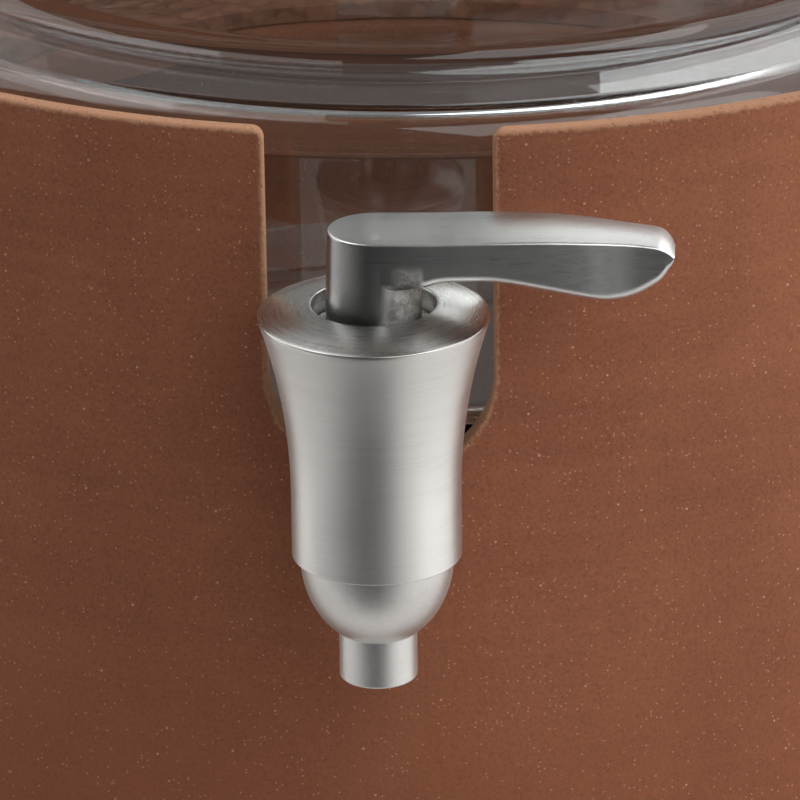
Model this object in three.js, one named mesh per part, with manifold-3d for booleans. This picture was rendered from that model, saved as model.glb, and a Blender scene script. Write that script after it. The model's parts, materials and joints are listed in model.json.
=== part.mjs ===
// A terracotta stand with a glass drinks jar let into its top, and the steel quarter-turn tap on the jar.
// Millimetres, +Z up. The origin is the centre of the stand's base, on the table.
// The tap faces -Y through a notch in the stand, and its closed lever points along +X.

import * as THREE from 'three';
import { mergeVertices } from 'three/addons/utils/BufferGeometryUtils.js';
import Module from 'manifold-3d';

const wasm = await Module();
wasm.setup();

// Clearances that all the pieces share.
const seatGap = 0.3;
const cutOverrun = 4;

// Terracotta stand: a straight pot whose wall thins towards the rim, with an inner ledge for the jar.
const standHeight = 208.7;
const standWall = 6;
const standRimWall = 2.8;
const standFloor = 8;
const standFootRound = 3;
const standFloorRound = 10;
const standRimRound = 0.7;
const ledgeWidth = 24;
const ledgeThickness = 8;
const ledgeNoseRound = 2.5;
const ledgeHaunch = 12;
const notchWidth = 32.6;
const notchCornerRound = 1.7;

// Cork ring on the ledge, under the glass.
const corkThickness = 3;
const corkLedgeMargin = 2;

// Glass jar: a wide drum that sits in the stand, and the narrower body that rises from it.
const jarSink = 2.1;
const drumRadius = 105.5;
const drumHeight = 55;
const drumShelf = 21.5;
const drumClearance = 6.5;
const drumTopRound = 5.5;
const drumBaseRound = 6;
const drumCornerRound = 5;
const glassWall = 3.5;
const glassBase = 5;
const bodyHeight = 150;
const bodyFillet = 3;
const shoulderRound = 24;
const neckHeight = 9;
const neckFillet = 4;
const mouthBead = 2.8;

// Lid: a turned wooden disc with a plug below it, a seal round the plug and a knob on top.
const lidOverhang = 4;
const lidThickness = 12;
const lidEdgeRound = 3;
const lidPlugDepth = 10;
const lidPlugClearance = 2.6;
const lidPlugChamfer = 1;
const sealHeight = 3.6;
const sealGrooveDepth = 2.2;
const sealLipThickness = 1.1;
const knobRadius = 13;
const knobHeight = 22;
const knobFootRadius = 8;
const knobFootHeight = 3;
const knobWaistRadius = 5;
const knobHoleDepth = 10;
const knobScrewRadius = 2;
const knobScrewHeadRadius = 4;
const knobScrewHeadHeight = 2.4;

// Where the tap stands: its skirt just clears the stand, its flange lies below the stand's rim.
const skirtClearance = 1.35;
const tapDrop = 22;
const shankDrop = 14.8;

// Tap body: a flange, a waist that draws in below it, and a straight skirt.
const flangeRadius = 16.5;
const flangeLip = 1;
const flangeCrown = 1.7;
const flangeCrownShare = 0.62;
const flangeHoleRadius = 8.9;
const waistRadius = 12.15;
const waistDepth = 27;
const skirtDepth = 36.6;
const skirtWall = 0.85;
const glandDepth = 5.3;
const plugTail = 8.2;
const passageRadius = 4.4;
const passageLength = 3;
const shankBossRadius = 8.5;

// Outlet bowl and spout, screwed up inside the skirt.
const bowlDropBelowSkirt = 11.9;
const bowlEllipseDepth = 13.4;
const bowlWall = 3.2;
const spoutRadius = 5.6;
const spoutLength = 7.1;
const spoutBoreRadius = 4.3;
const spoutChamfer = 0.4;
const bowlSealThickness = 1.4;
const bowlSealDepth = 2.6;

// Valve plug, which the lever turns.
const plugRadius = 6;
const plugPortRadius = 3;
const plugBoreRadius = 3.2;
const plugCollarRadius = 8.5;
const plugCollarThickness = 1.5;
const plugNeckRadius = 3.6;
const plugNeckHeight = 8;
const plugNeckFlat = 2.6;
const plugSealThickness = 1.1;
const plugSealMargin = 2.2;
const glandRingThickness = 1.8;
const glandRingGap = 0.35;

// Lever: an upright stem and a blade-like arm, cast in one.
const stemFootRadius = 6.8;
const stemTopRadius = 6.3;
const stemTopRound = 0.6;
const armCrown = 0.5;
const armEdgeRound = 0.7;
const armLowerRound = 1.6;
const armRoundShare = 0.9;
const leverRise = 14.2;
const leverReach = 42.5;
const leverWidth = 12.6;
const socketSlack = 0.4;
const leverScrewRadius = 1.3;
const leverScrewHeight = 4.5;
const leverScrewHexRadius = 0.8;
const leverScrewHexDepth = 1.2;

// Threaded shank with its gaskets, washer and nut.
const shankRadius = 6;
const shankBoreRadius = 3.2;
const shankEndChamfer = 0.8;
const shankTail = 2.1;
const inletSeatLength = 2.8;
const gasketRadius = 9;
const outerGasketThickness = 1.8;
const innerGasketThickness = 2.2;
const washerRadius = 9.5;
const washerThickness = 1.5;
const nutAcrossFlats = 19;
const nutThickness = 5.5;
const nutChamfer = 1;

// Levels and places that follow from those sizes.
const jarBaseZ = standHeight - jarSink - drumHeight;
const drumTopZ = jarBaseZ + drumHeight;
const ledgeTopZ = jarBaseZ - corkThickness - 2 * seatGap;
const collarRadius = drumRadius + drumClearance;
const standRadius = collarRadius + standWall;
const ledgeRadius = collarRadius - ledgeWidth;
const bodyRadius = drumRadius - drumShelf;
const neckRadius = bodyRadius - shoulderRound - neckFillet;
const shoulderZ = drumTopZ + bodyHeight;
const neckZ = shoulderZ + shoulderRound + neckFillet;
const mouthZ = neckZ + neckHeight + mouthBead;
const mouthRadius = neckRadius - glassWall;
const lidZ = mouthZ + seatGap;
const lidRadius = mouthRadius + 2 * mouthBead + lidOverhang;
const lidPlugRadius = mouthRadius - lidPlugClearance;
const tapZ = standHeight - tapDrop;
const tapReach = standRadius + skirtClearance + waistRadius;
const glassReach = tapReach - drumRadius;
const shankBossReach = glassReach - outerGasketThickness - 2 * seatGap;
const plugSeatDepth = shankDrop + plugTail;
const passageDepth = plugSeatDepth + passageLength;
const skirtBoreRadius = waistRadius - skirtWall;
const bowlRadius = skirtBoreRadius - seatGap;
const plugBoreWall = plugRadius + seatGap;
const collarTopDepth = glandDepth - seatGap - plugCollarThickness;

const terracotta = new THREE.MeshStandardMaterial({ color: 0x9c5f42, roughness: 0.92, metalness: 0 });
const glass = new THREE.MeshStandardMaterial({ color: 0xe4eeee, roughness: 0.05, metalness: 0 });
glass.transparent = true;
glass.opacity = 0.3;
const cork = new THREE.MeshStandardMaterial({ color: 0xb98b5e, roughness: 0.9, metalness: 0 });
const wood = new THREE.MeshStandardMaterial({ color: 0x9a6a3f, roughness: 0.6, metalness: 0 });
const steel = new THREE.MeshStandardMaterial({ color: 0xb9b7b2, roughness: 0.35, metalness: 1 });
const silicone = new THREE.MeshStandardMaterial({ color: 0xe6e4de, roughness: 0.55, metalness: 0 });
const fluoropolymer = new THREE.MeshStandardMaterial({ color: 0xf2f1ec, roughness: 0.4, metalness: 0 });
const rubber = new THREE.MeshStandardMaterial({ color: 0x26262a, roughness: 0.7, metalness: 0 });

// Points on an arc in a profile, from one angle to another in degrees, both ends included.
function arc(centreR, centreZ, radius, fromDegrees, toDegrees, steps) {
  const points = [];
  for (let i = 0; i <= steps; i += 1) {
    const angle = THREE.MathUtils.degToRad(fromDegrees + (toDegrees - fromDegrees) * i / steps);
    points.push(point(centreR + radius * Math.cos(angle), centreZ + radius * Math.sin(angle)));
  }
  return points;
}

function point(r, z) {
  return new THREE.Vector2(r, z);
}

// A solid turned about the Z axis from a closed profile of radius and height.
function turned(profile, segments) {
  const touchesAxis = profile.some((p) => p.x === 0);
  const outline = THREE.ShapeUtils.area(profile) < 0 ? [...profile].reverse() : [...profile];
  if (touchesAxis) {
    while (!(outline[0].x === 0 && outline[outline.length - 1].x === 0)) {
      outline.push(outline.shift());
    }
  } else {
    outline.push(outline[0].clone());
  }
  const geometry = new THREE.LatheGeometry(outline, segments);
  geometry.rotateX(Math.PI / 2);
  return solid(geometry);
}

// A flat outline in X and Z, given a thickness along Y from one place to another.
function slab(shape, fromY, toY, curveSegments) {
  const depth = toY - fromY;
  const geometry = new THREE.ExtrudeGeometry(shape, { depth, bevelEnabled: false, curveSegments });
  geometry.rotateX(Math.PI / 2);
  geometry.translate(0, toY, 0);
  return solid(geometry);
}

// A closed mesh as a solid that can be cut and joined.
function solid(geometry) {
  geometry.deleteAttribute('normal');
  geometry.deleteAttribute('uv');
  const merged = mergeVertices(geometry);
  const corners = merged.index.array;
  const triangles = [];
  for (let i = 0; i < corners.length; i += 3) {
    const [a, b, c] = [corners[i], corners[i + 1], corners[i + 2]];
    if (a !== b && b !== c && c !== a) {
      triangles.push(a, b, c);
    }
  }
  return new wasm.Manifold(new wasm.Mesh({
    numProp: 3,
    vertProperties: new Float32Array(merged.attributes.position.array),
    triVerts: new Uint32Array(triangles),
  }));
}

// A round bar or hole along Y, centred on x = 0 at height z.
function bar(radius, fromY, toY, z, segments) {
  const geometry = new THREE.CylinderGeometry(radius, radius, toY - fromY, segments);
  geometry.translate(0, (fromY + toY) / 2, z);
  return solid(geometry);
}

// A turned piece laid along Y, its profile's height running from the tap towards the jar.
function laidAlongShank(piece) {
  return piece.rotate([-90, 0, 0]).translate([0, 0, -shankDrop]);
}

// The jar's upright axis seen from the tap: a cylinder round it, taller than the gaskets.
function jarCylinder(radius) {
  const height = 2 * (gasketRadius + cutOverrun);
  const geometry = new THREE.CylinderGeometry(radius, radius, height, 180);
  geometry.rotateX(Math.PI / 2);
  geometry.translate(0, tapReach, -shankDrop);
  return solid(geometry);
}

function meshOf(name, piece, material) {
  const { numProp, vertProperties, triVerts } = piece.getMesh();
  const positions = [];
  for (let i = 0; i < vertProperties.length; i += numProp) {
    positions.push(vertProperties[i], vertProperties[i + 1], vertProperties[i + 2]);
  }
  const geometry = new THREE.BufferGeometry();
  geometry.setAttribute('position', new THREE.Float32BufferAttribute(positions, 3));
  geometry.setIndex([...triVerts]);
  geometry.computeVertexNormals();
  const mesh = new THREE.Mesh(geometry, material);
  mesh.name = name;
  return mesh;
}

// The stand's U-shaped notch, its top corners opening out in a small round.
function notchOutline() {
  const half = notchWidth / 2;
  const centreZ = tapZ - shankDrop;
  const topZ = standHeight + cutOverrun;
  const cornerZ = standHeight - notchCornerRound;
  const shape = new THREE.Shape();
  shape.moveTo(-half - notchCornerRound, topZ);
  shape.lineTo(-half - notchCornerRound, standHeight);
  shape.absarc(-half - notchCornerRound, cornerZ, notchCornerRound, Math.PI / 2, 0, true);
  shape.absarc(0, centreZ, half, Math.PI, 2 * Math.PI, false);
  shape.absarc(half + notchCornerRound, cornerZ, notchCornerRound, Math.PI, Math.PI / 2, true);
  shape.lineTo(half + notchCornerRound, topZ);
  return shape;
}

function stand() {
  const underLedgeZ = ledgeTopZ - ledgeThickness;
  const noseRadius = ledgeRadius + ledgeNoseRound;
  const rimInside = standRadius - standRimWall;
  const rimRoundZ = standHeight - standRimRound;
  const pot = turned([
    point(0, 0),
    ...arc(standRadius - standFootRound, standFootRound, standFootRound, -90, 0, 2),
    ...arc(standRadius - standRimRound, rimRoundZ, standRimRound, 0, 90, 3),
    ...arc(rimInside + standRimRound, rimRoundZ, standRimRound, 90, 180, 3),
    point(collarRadius, ledgeTopZ),
    ...arc(noseRadius, ledgeTopZ - ledgeNoseRound, ledgeNoseRound, 90, 180, 2),
    point(ledgeRadius, underLedgeZ),
    ...arc(collarRadius - ledgeHaunch, underLedgeZ - ledgeHaunch, ledgeHaunch, 90, 0, 3),
    ...arc(collarRadius - standFloorRound, standFloor + standFloorRound, standFloorRound, 0, -90, 3),
    point(0, standFloor),
  ], 56);
  const notch = slab(notchOutline(), -standRadius - cutOverrun, -collarRadius + cutOverrun, 8);
  return pot.subtract(notch);
}

function corkRing() {
  const bottomZ = ledgeTopZ + seatGap;
  const innerRadius = ledgeRadius + corkLedgeMargin;
  const outerRadius = collarRadius - seatGap;
  return turned([
    point(innerRadius, bottomZ),
    point(outerRadius, bottomZ),
    point(outerRadius, bottomZ + corkThickness),
    point(innerRadius, bottomZ + corkThickness),
  ], 48);
}

// The jar's outside runs from its base to the mouth, and its inside is the same line one wall in.
function jar() {
  const filletRadius = bodyRadius + bodyFillet;
  const filletZ = drumTopZ + bodyFillet;
  const neckCentre = neckRadius + neckFillet;
  const beadCentre = mouthRadius + mouthBead;
  const beadZ = mouthZ - mouthBead;
  const beadStart = -THREE.MathUtils.radToDeg(Math.acos((neckRadius - beadCentre) / mouthBead));
  const shoulderCentre = bodyRadius - shoulderRound;
  const drumInside = drumRadius - glassWall;
  const floorZ = jarBaseZ + glassBase;
  const vessel = turned([
    point(0, jarBaseZ),
    ...arc(drumRadius - drumBaseRound, jarBaseZ + drumBaseRound, drumBaseRound, -90, 0, 3),
    ...arc(drumRadius - drumTopRound, drumTopZ - drumTopRound, drumTopRound, 0, 90, 4),
    ...arc(filletRadius, filletZ, bodyFillet, 270, 180, 2),
    ...arc(shoulderCentre, shoulderZ, shoulderRound, 0, 90, 5),
    ...arc(neckCentre, neckZ, neckFillet, 270, 180, 2),
    ...arc(beadCentre, beadZ, mouthBead, beadStart, 180, 6),
    ...arc(neckCentre, neckZ, neckFillet + glassWall, 180, 270, 2),
    ...arc(shoulderCentre, shoulderZ, shoulderRound - glassWall, 90, 0, 4),
    ...arc(filletRadius, filletZ, bodyFillet + glassWall, 180, 270, 2),
    ...arc(drumRadius - drumTopRound, drumTopZ - drumTopRound, drumTopRound - glassWall, 90, 0, 2),
    ...arc(drumInside - drumCornerRound, floorZ + drumCornerRound, drumCornerRound, 0, -90, 3),
    point(0, floorZ),
  ], 48);
  const holeZ = tapZ - shankDrop;
  const tapHole = bar(shankRadius + seatGap, -drumRadius - cutOverrun, cutOverrun - drumInside, holeZ, 24);
  return vessel.subtract(tapHole);
}

// The lid's heights are measured from its seat on the mouth.
function lid() {
  const grooveRadius = lidPlugRadius - sealGrooveDepth;
  const grooveTop = -(lidPlugDepth - sealHeight) / 2;
  const grooveBottom = grooveTop - sealHeight - seatGap;
  const disc = turned([
    point(0, -lidPlugDepth),
    point(lidPlugRadius - lidPlugChamfer, -lidPlugDepth),
    point(lidPlugRadius, lidPlugChamfer - lidPlugDepth),
    point(lidPlugRadius, grooveBottom),
    point(grooveRadius, grooveBottom),
    point(grooveRadius, grooveTop),
    point(lidPlugRadius, grooveTop),
    point(lidPlugRadius, 0),
    point(lidRadius - lidPlugChamfer, 0),
    point(lidRadius, lidPlugChamfer),
    ...arc(lidRadius - lidEdgeRound, lidThickness - lidEdgeRound, lidEdgeRound, 0, 90, 3),
    point(0, lidThickness),
  ], 40);
  const screwHole = turned([
    point(0, -lidPlugDepth - cutOverrun),
    point(knobScrewHeadRadius + seatGap, -lidPlugDepth - cutOverrun),
    point(knobScrewHeadRadius + seatGap, -lidPlugDepth + knobScrewHeadHeight + seatGap),
    point(knobScrewRadius + seatGap, -lidPlugDepth + knobScrewHeadHeight + seatGap),
    point(knobScrewRadius + seatGap, lidThickness + cutOverrun),
    point(0, lidThickness + cutOverrun),
  ], 20);
  return disc.subtract(screwHole);
}

// The seal's back sits in the lid's groove, and its lip reaches out to the glass.
function lidSeal() {
  const backRadius = lidPlugRadius - sealGrooveDepth + seatGap;
  const topZ = -(lidPlugDepth - sealHeight) / 2 - seatGap / 2;
  const bottomZ = topZ - sealHeight;
  const lipRadius = mouthRadius - seatGap;
  return turned([
    point(backRadius, bottomZ),
    point(lidPlugRadius, bottomZ),
    point(lidPlugRadius, topZ - 2 * sealLipThickness),
    point(lipRadius, topZ - sealLipThickness),
    point(lipRadius, topZ),
    point(backRadius, topZ),
  ], 40);
}

// The knob is turned in one: a foot, a waist and a flattened ball, with a blind tapped hole.
function lidKnob() {
  const footZ = lidThickness + seatGap;
  const headDepth = (knobHeight - knobFootHeight) / 3;
  const headZ = footZ + knobHeight - headDepth;
  const headCurve = [];
  for (let i = 0; i <= 8; i += 1) {
    const angle = THREE.MathUtils.degToRad(-60 + 150 * i / 8);
    const radius = i === 8 ? 0 : knobRadius * Math.cos(angle);
    headCurve.push(point(radius, headZ + headDepth * Math.sin(angle)));
  }
  return turned([
    point(knobScrewRadius + seatGap, footZ),
    point(knobFootRadius, footZ),
    point(knobFootRadius, footZ + knobFootHeight),
    point(knobWaistRadius, footZ + 2 * knobFootHeight),
    ...headCurve,
    point(0, footZ + knobHoleDepth),
    point(knobScrewRadius + seatGap, footZ + knobHoleDepth),
  ], 24);
}

function knobScrew() {
  const headZ = -lidPlugDepth;
  const tipZ = lidThickness + knobHoleDepth - seatGap;
  return turned([
    point(0, headZ),
    point(knobScrewHeadRadius, headZ),
    point(knobScrewHeadRadius, headZ + knobScrewHeadHeight),
    point(knobScrewRadius, headZ + knobScrewHeadHeight),
    point(knobScrewRadius, tipZ),
    point(0, tipZ),
  ], 16);
}

// The tap's heights are measured from the flange's edge, and its own axis is x = 0, y = 0.
// The waist is one arc, upright where it meets the skirt.
function tapBody() {
  const lipRadius = flangeRadius - flangeLip / 4;
  const inward = lipRadius - waistRadius;
  const curveDepth = waistDepth - flangeLip;
  const curveRadius = (inward * inward + curveDepth * curveDepth) / (2 * inward);
  const curveDegrees = THREE.MathUtils.radToDeg(Math.asin(curveDepth / curveRadius));
  const shell = turned([
    point(flangeHoleRadius, flangeCrown),
    point((flangeHoleRadius + flangeRadius) / 2, flangeCrown * flangeCrownShare),
    point(flangeRadius, 0),
    ...arc(waistRadius + curveRadius, -waistDepth, curveRadius, 180 - curveDegrees, 180, 8),
    point(waistRadius, -skirtDepth),
    point(skirtBoreRadius, -skirtDepth),
    point(skirtBoreRadius, -passageDepth),
    point(passageRadius, -passageDepth),
    point(passageRadius, -plugSeatDepth),
    point(plugBoreWall, -plugSeatDepth),
    point(plugBoreWall, -glandDepth),
    point(flangeHoleRadius, -glandDepth),
  ], 32);
  const boss = bar(shankBossRadius, plugBoreWall + skirtWall, shankBossReach, -shankDrop, 24);
  const shankHole = bar(shankRadius + seatGap, 0, shankBossReach + cutOverrun, -shankDrop, 24);
  const bore = turned([
    point(0, -plugSeatDepth),
    point(plugBoreWall, -plugSeatDepth),
    point(plugBoreWall, -glandDepth),
    point(0, -glandDepth),
  ], 32);
  return shell.add(boss).subtract(shankHole).subtract(bore);
}

// A bowl that hangs below the skirt and runs down into the spout, hollow inside.
function outletBowl() {
  const topZ = -passageDepth - seatGap;
  const turnZ = -skirtDepth - seatGap;
  const spoutTopZ = -skirtDepth - bowlDropBelowSkirt;
  const tipZ = spoutTopZ - spoutLength;
  const chamber = bowlRadius - bowlWall;
  const grooveTop = topZ - bowlSealDepth;
  const grooveBottom = grooveTop - bowlSealThickness - 2 * seatGap;
  const grooveRadius = bowlRadius - bowlSealThickness - seatGap;
  const outside = bowlCurve(bowlRadius, bowlEllipseDepth, spoutRadius, turnZ, 7);
  const inside = bowlCurve(chamber, bowlEllipseDepth - bowlWall, spoutBoreRadius, turnZ, 4);
  return turned([
    point(chamber, topZ),
    ...inside,
    point(spoutBoreRadius, tipZ),
    point(spoutRadius - spoutChamfer, tipZ),
    point(spoutRadius, tipZ + spoutChamfer),
    point(spoutRadius, spoutTopZ),
    ...outside.reverse(),
    point(bowlRadius, grooveBottom),
    point(grooveRadius, grooveBottom),
    point(grooveRadius, grooveTop),
    point(bowlRadius, grooveTop),
    point(bowlRadius, topZ),
  ], 28);
}

// A quarter ellipse from the bowl's full radius down to where it meets the spout or its bore.
function bowlCurve(radius, depth, endRadius, topZ, steps) {
  const endAngle = Math.acos(endRadius / radius);
  const points = [];
  for (let i = 0; i <= steps; i += 1) {
    const angle = endAngle * i / steps;
    points.push(point(radius * Math.cos(angle), topZ - depth * Math.sin(angle)));
  }
  return points;
}

// A rubber ring of round section, centred on the tap's axis at height z.
function sealRing(outerRadius, thickness, z, segments) {
  const ring = arc(outerRadius - thickness / 2, z, thickness / 2, 0, 360, 6);
  ring.pop();
  return turned(ring, segments);
}

function bowlSeal() {
  const z = -passageDepth - 2 * seatGap - bowlSealDepth - bowlSealThickness / 2;
  return sealRing(bowlRadius, bowlSealThickness, z, 24);
}

// Heights of the two ring seals on the plug, one above its port and one below.
function plugSealHeights() {
  const upper = -glandDepth - plugSealMargin;
  const lower = -plugSeatDepth + plugSealMargin;
  return [upper, lower];
}

// An L-shaped way runs from the plug's side to its foot. Closed, its side port faces -X.
function valvePlug() {
  const footZ = -plugSeatDepth + seatGap;
  const collarZ = -glandDepth + seatGap;
  const grooveRadius = plugRadius - plugSealThickness - seatGap;
  const halfGroove = plugSealThickness / 2 + seatGap;
  const [upperZ, lowerZ] = plugSealHeights();
  const barrel = turned([
    point(0, footZ),
    point(plugRadius, footZ),
    point(plugRadius, lowerZ - halfGroove),
    point(grooveRadius, lowerZ - halfGroove),
    point(grooveRadius, lowerZ + halfGroove),
    point(plugRadius, lowerZ + halfGroove),
    point(plugRadius, upperZ - halfGroove),
    point(grooveRadius, upperZ - halfGroove),
    point(grooveRadius, upperZ + halfGroove),
    point(plugRadius, upperZ + halfGroove),
    point(plugRadius, collarZ),
    point(plugCollarRadius, collarZ),
    point(plugCollarRadius, -collarTopDepth),
    point(plugNeckRadius, -collarTopDepth),
    point(plugNeckRadius, plugNeckHeight),
    point(0, plugNeckHeight),
  ], 24);
  const down = turned([
    point(0, footZ - cutOverrun),
    point(plugBoreRadius, footZ - cutOverrun),
    point(plugBoreRadius, -shankDrop),
    point(0, -shankDrop),
  ], 20);
  const port = bar(plugPortRadius, 0, plugRadius + cutOverrun, -shankDrop, 20).rotate([0, 0, 90]);
  const flatShape = new THREE.Shape([
    point(-plugNeckRadius - cutOverrun, 0),
    point(plugNeckRadius + cutOverrun, 0),
    point(plugNeckRadius + cutOverrun, plugNeckHeight + cutOverrun),
    point(-plugNeckRadius - cutOverrun, plugNeckHeight + cutOverrun),
  ]);
  const flat = slab(flatShape, plugNeckFlat, plugNeckRadius + cutOverrun, 1);
  return barrel.subtract(down).subtract(port).subtract(flat);
}

// The snap ring that holds the plug down, seen round the foot of the lever.
function glandRing() {
  const bottomZ = -collarTopDepth + seatGap;
  const topZ = bottomZ + glandRingThickness;
  const innerRadius = stemFootRadius + glandRingGap;
  const outerRadius = flangeHoleRadius - seatGap;
  return turned([
    point(innerRadius, bottomZ),
    point(outerRadius, bottomZ),
    point(outerRadius, topZ),
    point(innerRadius, topZ),
  ], 28);
}

// Sections along the arm: distance along it, half width, top and underside, as shares of
// the lever's reach, half its width and its rise. The underside drops to a belly near the tip.
const armSectionShares = [
  [0, 0.98, 0.995, 0.36],
  [0.16, 0.99, 1, 0.45],
  [0.21, 1, 1, 0.52],
  [0.29, 1, 1, 0.55],
  [0.42, 0.99, 0.993, 0.54],
  [0.58, 0.95, 0.98, 0.452],
  [0.7, 0.87, 0.955, 0.366],
  [0.78, 0.79, 0.935, 0.35],
  [0.86, 0.68, 0.905, 0.405],
  [0.93, 0.53, 0.875, 0.53],
  [0.975, 0.36, 0.84, 0.66],
  [1, 0.15, 0.8, 0.73],
];

// One section, anticlockwise seen from the tip: flat sides, eased edges and a slightly crowned top.
function armSection(halfWidth, topZ, bottomZ) {
  const room = Math.min(halfWidth, (topZ - bottomZ) / 2) * armRoundShare;
  const upper = Math.min(armEdgeRound, room);
  const lower = Math.min(armLowerRound, room);
  const crown = armCrown * halfWidth / (leverWidth / 2);
  const edgeZ = topZ - crown;
  const right = [
    ...arc(halfWidth - lower, bottomZ + lower, lower, -90, 0, 3),
    ...arc(halfWidth - upper, edgeZ - upper, upper, 0, 90, 2),
    point((halfWidth - upper) / 2, topZ - crown / 4),
  ];
  const left = [...right].reverse().map((p) => point(-p.x, p.y));
  return [...right, point(0, topZ), ...left];
}

// The sections are lofted, each joined to the next.
function leverArm() {
  const rings = armSectionShares.map(([along, width, top, bottom]) => {
    const section = armSection(width * leverWidth / 2, top * leverRise, bottom * leverRise);
    return section.map((p) => [leverReach * along, p.x, p.y]);
  });
  const around = rings[0].length;
  const faces = [];
  const last = rings.length - 1;
  for (let s = 0; s < last; s += 1) {
    for (let i = 0; i < around; i += 1) {
      const next = (i + 1) % around;
      const [a, b] = [s * around + i, s * around + next];
      faces.push(a, b, a + around, b, b + around, a + around);
    }
  }
  for (let i = 1; i < around - 1; i += 1) {
    faces.push(0, i + 1, i);
    faces.push(last * around, last * around + i, last * around + i + 1);
  }
  const geometry = new THREE.BufferGeometry();
  geometry.setAttribute('position', new THREE.Float32BufferAttribute(rings.flat(2), 3));
  geometry.setIndex(faces);
  return solid(geometry);
}

function lever() {
  const footZ = -collarTopDepth + seatGap;
  const topZ = leverRise - armCrown;
  const stem = turned([
    point(0, footZ),
    point(stemFootRadius, footZ),
    point(stemFootRadius, flangeCrown),
    ...arc(stemTopRadius - stemTopRound, topZ - stemTopRound, stemTopRound, 0, 90, 2),
    point(stemTopRadius / 2, leverRise - armCrown / 4),
    point(0, leverRise),
  ], 32);
  const socket = turned([
    point(0, footZ - cutOverrun),
    point(plugNeckRadius + seatGap, footZ - cutOverrun),
    point(plugNeckRadius + seatGap, plugNeckHeight + socketSlack),
    point(0, plugNeckHeight + socketSlack),
  ], 20);
  const screwHole = bar(leverScrewRadius + seatGap, 0, stemFootRadius + cutOverrun, leverScrewHeight, 16);
  return stem.add(leverArm()).subtract(socket).subtract(screwHole);
}

// A socket grub screw in the back of the stem, on the flat of the plug's neck.
function leverScrew() {
  const fromY = plugNeckFlat + seatGap;
  const toY = stemTopRadius;
  const body = bar(leverScrewRadius, fromY, toY, leverScrewHeight, 16);
  const hex = bar(leverScrewHexRadius, toY - leverScrewHexDepth, toY + cutOverrun, leverScrewHeight, 6);
  return body.subtract(hex);
}

// The pieces on the shank, in order from the plug to the end inside the jar.
function inletSeat() {
  const fromY = plugRadius - plugPortRadius;
  const toY = plugBoreWall + inletSeatLength;
  const ring = laidAlongShank(turned([
    point(shankBoreRadius, fromY),
    point(shankRadius, fromY),
    point(shankRadius, toY),
    point(shankBoreRadius, toY),
  ], 20));
  const bore = turned([
    point(0, -plugSeatDepth),
    point(plugBoreWall, -plugSeatDepth),
    point(plugBoreWall, -glandDepth),
    point(0, -glandDepth),
  ], 32);
  return ring.subtract(bore);
}

function threadedShank() {
  const fromY = plugBoreWall + inletSeatLength + seatGap;
  const toY = shankStations().end;
  return laidAlongShank(turned([
    point(shankBoreRadius, fromY),
    point(shankRadius, fromY),
    point(shankRadius, toY - shankEndChamfer),
    point(shankRadius - shankEndChamfer, toY),
    point(shankBoreRadius, toY),
  ], 24));
}

// Distances from the tap's axis at which each piece on the shank begins.
function shankStations() {
  const outerGasket = shankBossReach + seatGap;
  const innerGasket = glassReach + glassWall + seatGap;
  const washer = innerGasket + innerGasketThickness + seatGap;
  const nut = washer + washerThickness + seatGap;
  const end = nut + nutThickness + shankTail;
  return { outerGasket, innerGasket, washer, nut, end };
}

function ringOnShank(outerRadius, fromY, toY) {
  return laidAlongShank(turned([
    point(shankRadius + seatGap, fromY),
    point(outerRadius, fromY),
    point(outerRadius, toY),
    point(shankRadius + seatGap, toY),
  ], 24));
}

// The outer gasket is hollowed to the drum, and the inner one is crowned to fit inside it.
function outerGasket() {
  const ring = ringOnShank(gasketRadius, shankStations().outerGasket, glassReach + glassWall);
  return ring.subtract(jarCylinder(drumRadius + seatGap));
}

function innerGasket() {
  const from = glassReach + glassWall;
  const to = shankStations().innerGasket + innerGasketThickness;
  return ringOnShank(gasketRadius, from, to).intersect(jarCylinder(drumRadius - glassWall - seatGap));
}

function shankWasher() {
  const from = shankStations().washer;
  return ringOnShank(washerRadius, from, from + washerThickness);
}

// A hexagon nut, its corners taken off by a turned cone at each end.
function shankNut() {
  const from = shankStations().nut;
  const to = from + nutThickness;
  const cornerRadius = nutAcrossFlats / Math.sqrt(3);
  const prism = new THREE.CylinderGeometry(cornerRadius, cornerRadius, nutThickness, 6);
  prism.translate(0, (from + to) / 2, -shankDrop);
  const rounded = laidAlongShank(turned([
    point(0, from),
    point(cornerRadius - nutChamfer, from),
    point(cornerRadius, from + nutChamfer / 2),
    point(cornerRadius, to - nutChamfer / 2),
    point(cornerRadius - nutChamfer, to),
    point(0, to),
  ], 30));
  const hole = bar(shankRadius + seatGap, from - cutOverrun, to + cutOverrun, -shankDrop, 24);
  return solid(prism).intersect(rounded).subtract(hole);
}

const standGroup = new THREE.Group();
standGroup.add(meshOf('terracotta_stand', stand(), terracotta));
standGroup.add(meshOf('cork_seat_ring', corkRing(), cork));

const jarGroup = new THREE.Group();
jarGroup.add(meshOf('glass_jar', jar(), glass));

const lidGroup = new THREE.Group();
lidGroup.position.z = lidZ;
lidGroup.add(meshOf('lid', lid(), wood));
lidGroup.add(meshOf('lid_seal', lidSeal(), silicone));
lidGroup.add(meshOf('lid_knob', lidKnob(), steel));
lidGroup.add(meshOf('knob_screw', knobScrew(), steel));

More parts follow.
